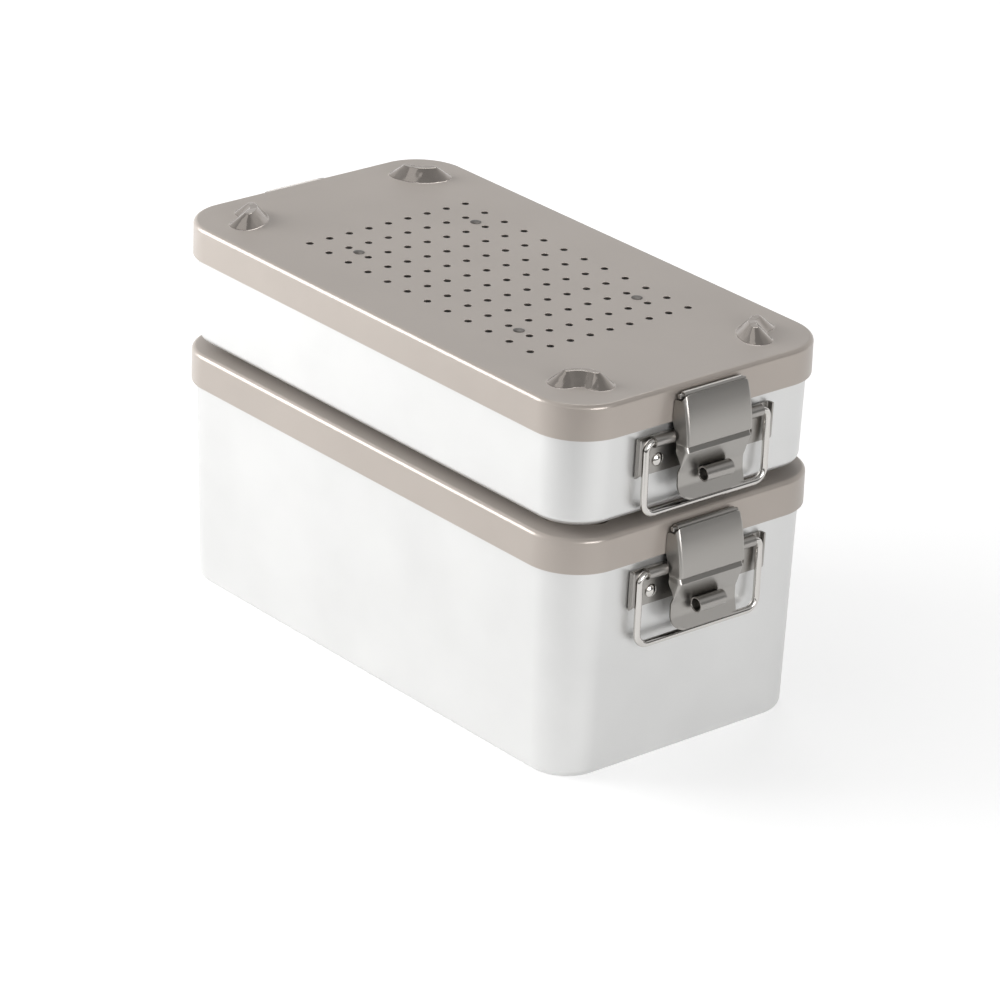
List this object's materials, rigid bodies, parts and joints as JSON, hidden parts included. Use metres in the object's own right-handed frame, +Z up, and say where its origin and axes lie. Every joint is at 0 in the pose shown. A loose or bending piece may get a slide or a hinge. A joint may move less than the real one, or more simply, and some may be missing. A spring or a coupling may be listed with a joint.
{
  "type": "sterilization container",
  "caption": "Stacked drawn aluminium sterilization containers with perforated latching lids, filter holders, over-centre latch flaps and wire carrying handles.",
  "frame": {"origin": "middle of the lower tub's floor, on the surface that it stands on", "axes": "+X along the containers to one latch end, +Y across them to a long side, +Z up"},
  "size_m": [0.3212, 0.158, 0.1933],
  "materials": {
    "satin_silver_anodised": "satin",
    "taupe_anodised": "satin",
    "plain_aluminium": "satin",
    "stainless": "polished",
    "silicone": "matte",
    "filter_paper": "matte"
  },
  "bodies": {
    "lower_tub": {"lower_tub": "satin_silver_anodised", "lower_left_bracket": "stainless", "lower_right_bracket": "stainless", "lower_bracket_rivets": "stainless"},
    "lower_lid": {"lower_lid": "taupe_anodised", "lower_lid_seal": "silicone", "lower_seal_channel": "plain_aluminium", "lower_filter_sheet": "filter_paper", "lower_filter_studs": "stainless", "lower_hinge_rivets": "stainless", "lower_left_latch_pin": "stainless", "lower_left_latch_hinge": "stainless", "lower_right_latch_pin": "stainless", "lower_right_latch_hinge": "stainless"},
    "lower_filter_retainer": {"lower_filter_retainer": "plain_aluminium"},
    "lower_left_latch": {"lower_left_latch": "stainless"},
    "lower_left_handle": {"lower_left_handle": "stainless"},
    "lower_right_latch": {"lower_right_latch": "stainless"},
    "lower_right_handle": {"lower_right_handle": "stainless"},
    "upper_tub": {"upper_tub": "satin_silver_anodised", "upper_left_bracket": "stainless", "upper_right_bracket": "stainless", "upper_bracket_rivets": "stainless"},
    "upper_lid": {"upper_lid": "taupe_anodised", "upper_lid_seal": "silicone", "upper_seal_channel": "plain_aluminium", "upper_filter_sheet": "filter_paper", "upper_filter_studs": "stainless", "upper_hinge_rivets": "stainless", "upper_left_latch_pin": "stainless", "upper_left_latch_hinge": "stainless", "upper_right_latch_pin": "stainless", "upper_right_latch_hinge": "stainless"},
    "upper_filter_retainer": {"upper_filter_retainer": "plain_aluminium"},
    "upper_left_latch": {"upper_left_latch": "stainless"},
    "upper_left_handle": {"upper_left_handle": "stainless"},
    "upper_right_latch": {"upper_right_latch": "stainless"},
    "upper_right_handle": {"upper_right_handle": "stainless"}
  },
  "joints": [
    {"name": "lower_lid_lift", "type": "slide", "parent": "lower_tub", "child": "lower_lid", "axis": [0, 0, 1], "range_m": [0, 0.05]},
    {"name": "lower_retainer_pull", "type": "slide", "parent": "lower_lid", "child": "lower_filter_retainer", "axis": [0, 0, -1], "range_m": [0, 0.012]},
    {"name": "lower_left_latch_swing", "type": "hinge", "parent": "lower_lid", "child": "lower_left_latch", "pos_m": [-0.1529, 0, 0.118], "axis": [0, 1, 0], "range_deg": [0, 95]},
    {"name": "lower_left_handle_swing", "type": "hinge", "parent": "lower_tub", "child": "lower_left_handle", "pos_m": [-0.15126, 0, 0.0987], "axis": [0, 1, 0], "range_deg": [0, 90]},
    {"name": "lower_right_latch_swing", "type": "hinge", "parent": "lower_lid", "child": "lower_right_latch", "pos_m": [0.1529, 0, 0.118], "axis": [0, -1, 0], "range_deg": [0, 95]},
    {"name": "lower_right_handle_swing", "type": "hinge", "parent": "lower_tub", "child": "lower_right_handle", "pos_m": [0.15126, 0, 0.0987], "axis": [0, -1, 0], "range_deg": [0, 90]},
    {"name": "upper_lid_lift", "type": "slide", "parent": "upper_tub", "child": "upper_lid", "axis": [0, 0, 1], "range_m": [0, 0.05]},
    {"name": "upper_container_lift", "type": "slide", "parent": "lower_lid", "child": "upper_tub", "axis": [0, 0, 1], "range_m": [0, 0.05]},
    {"name": "upper_retainer_pull", "type": "slide", "parent": "upper_lid", "child": "upper_filter_retainer", "axis": [0, 0, -1], "range_m": [0, 0.012]},
    {"name": "upper_left_latch_swing", "type": "hinge", "parent": "upper_lid", "child": "upper_left_latch", "pos_m": [-0.1529, 0, 0.1831], "axis": [0, 1, 0], "range_deg": [0, 95]},
    {"name": "upper_left_handle_swing", "type": "hinge", "parent": "upper_tub", "child": "upper_left_handle", "pos_m": [-0.15126, 0, 0.1638], "axis": [0, 1, 0], "range_deg": [0, 90]},
    {"name": "upper_right_latch_swing", "type": "hinge", "parent": "upper_lid", "child": "upper_right_latch", "pos_m": [0.1529, 0, 0.1831], "axis": [0, -1, 0], "range_deg": [0, 95]},
    {"name": "upper_right_handle_swing", "type": "hinge", "parent": "upper_tub", "child": "upper_right_handle", "pos_m": [0.15126, 0, 0.1638], "axis": [0, -1, 0], "range_deg": [0, 90]}
  ]
}
